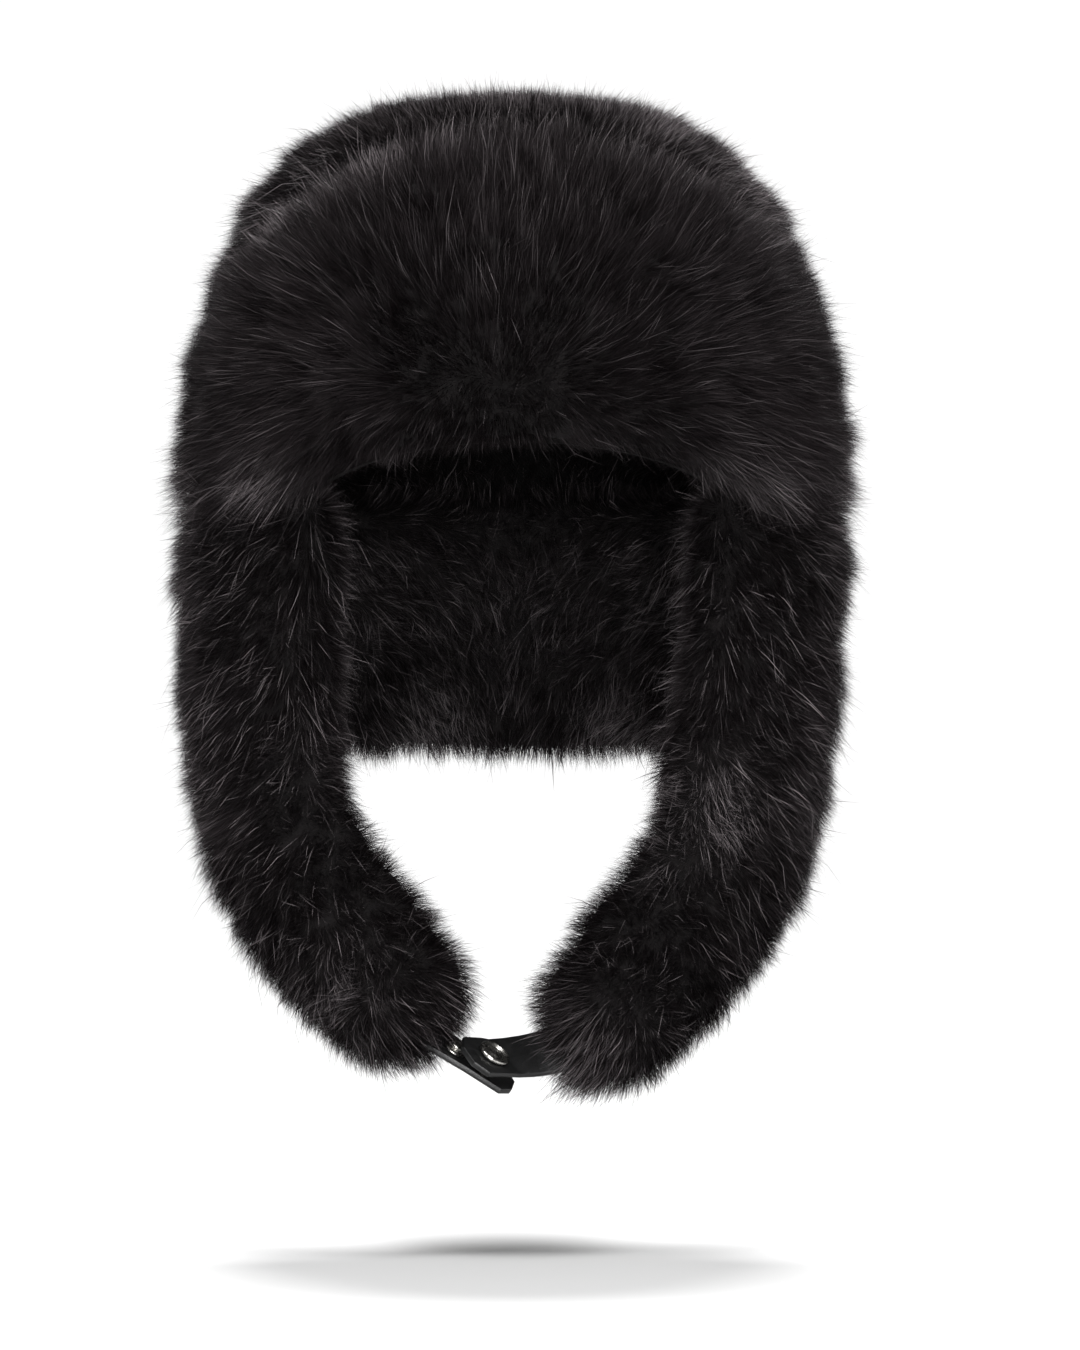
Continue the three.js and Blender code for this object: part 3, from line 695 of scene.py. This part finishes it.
def turnedPiece(nodeName, profile, turns=64):
    bm = bmeshOfNode(nodeName)
    points = [vert.co.copy() for vert in bm.verts]
    bm.clear()
    axisPoint = sum(points, Vector()) / len(points)
    top = axisPoint + snapUp * max((point - axisPoint).dot(snapUp) for point in points)
    verts = [bm.verts.new((radius * mm, 0, -depth * mm)) for radius, depth in profile]
    edges = [bm.edges.new(pair) for pair in zip(verts, verts[1:])]
    bmesh.ops.spin(bm, geom=verts + edges, cent=(0, 0, 0), axis=(0, 0, 1), angle=math.tau,
                   steps=turns, use_merge=True)
    bmesh.ops.remove_doubles(bm, verts=bm.verts, dist=0.01 * mm)
    bmesh.ops.recalc_face_normals(bm, faces=bm.faces)
    turn = snapUp.to_track_quat("Z", "Y").to_matrix().to_4x4()
    bmesh.ops.transform(bm, matrix=Matrix.Translation(top) @ turn, verts=bm.verts)
    mesh = bpy.data.meshes.new(nodeName + "_turned")
    bm.to_mesh(mesh)
    bm.free()
    for polygon in mesh.polygons:
        polygon.use_smooth = True
    mesh.set_sharp_from_angle(angle=math.radians(60))
    piece = newObject(nodeName + "_turned", mesh, snapMaterial)
    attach(piece, "root")
    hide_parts(nodeName)


for nodeName, profile in turnedPieces.items():
    turnedPiece(nodeName, profile)
for nodeName, node in nodes.items():
    isMetal = nodeName.startswith(("snap", "spare"))
    node.data.materials.clear()
    node.data.materials.append(snapMaterial if isMetal else liningMaterial)
print("snap made, walls finished")


# floor, light and camera

studio = {"floor": -0.378, "floorSize": 14, "sun": 4.5, "sunSpread": 26, "sunTilt": 22, "ambient": 0.14}
softboxes = {  # place, size and power of each
    "key left": ((-0.8, -1.6, 1.3), 0.7, 34),
    "key right": ((0.95, -1.4, 1.4), 0.7, 31),
    "front low": ((0.1, -2.4, -0.1), 0.8, 56),
}
view = {"pixel": 0.35 * mm, "imageWidth": 1080, "imageHeight": 1350, "middleColumn": 540, "middleRow": 675,
        "originColumn": 517, "topRow": 90, "topHeight": 33 * mm, "distance": 2.6, "plane": -0.07}


def paleFloor():
    bm = bmesh.new()
    bmesh.ops.create_grid(bm, x_segments=4, y_segments=4, size=studio["floorSize"] / 2)
    bmesh.ops.translate(bm, verts=bm.verts, vec=(0, 0, studio["floor"]))
    mesh = bpy.data.meshes.new("floor")
    bm.to_mesh(mesh)
    bm.free()
    finish = Finish("pale floor", Base_Color=(0.71, 0.71, 0.71, 1), Roughness=0.9)
    newObject("floor", mesh, finish.material)


def lights():
    world = bpy.data.worlds.new("studio")
    scene.world = world
    world.use_nodes = True
    tree = world.node_tree
    background = tree.nodes["Background"]
    background.inputs["Color"].default_value = (1, 1, 1, 1)
    rays = tree.nodes.new("ShaderNodeLightPath")
    isSeen = Wire(tree, rays.outputs["Is Camera Ray"])
    plug(tree, background.inputs["Strength"], isSeen * (1.05 - studio["ambient"]) + studio["ambient"])
    sun = bpy.data.lights.new("overhead", "SUN")
    sun.energy = studio["sun"]
    sun.angle = math.radians(studio["sunSpread"])
    overhead = bpy.data.objects.new("overhead", sun)
    overhead.rotation_euler = (-math.radians(studio["sunTilt"]), 0, 0)
    scene.collection.objects.link(overhead)
    target = Vector((0, -0.05, -0.14))
    for name, (place, size, power) in softboxes.items():
        box = bpy.data.lights.new(name, "AREA")
        box.size = size
        box.energy = power
        lamp = bpy.data.objects.new(name, box)
        scene.collection.objects.link(lamp)
        lamp.location = place
        lamp.rotation_euler = (target - Vector(place)).to_track_quat("-Z", "Y").to_euler()


def camera():
    made = bpy.data.objects.new("camera", bpy.data.cameras.new("camera"))
    scene.collection.objects.link(made)
    across = (view["middleColumn"] - view["originColumn"]) * view["pixel"]
    height = view["topHeight"] - (view["middleRow"] - view["topRow"]) * view["pixel"]
    made.location = (across, view["plane"] - view["distance"], height)
    made.rotation_euler = (math.pi / 2, 0, 0)
    made.data.sensor_fit = "VERTICAL"
    half = view["imageHeight"] * view["pixel"] / 2
    made.data.lens = made.data.sensor_height / 2 * view["distance"] / half
    made.data.clip_start = 0.05
    made.data.clip_end = 50
    scene.camera = made


paleFloor()
lights()
camera()
scene.view_settings.view_transform = "Standard"
print("studio set")
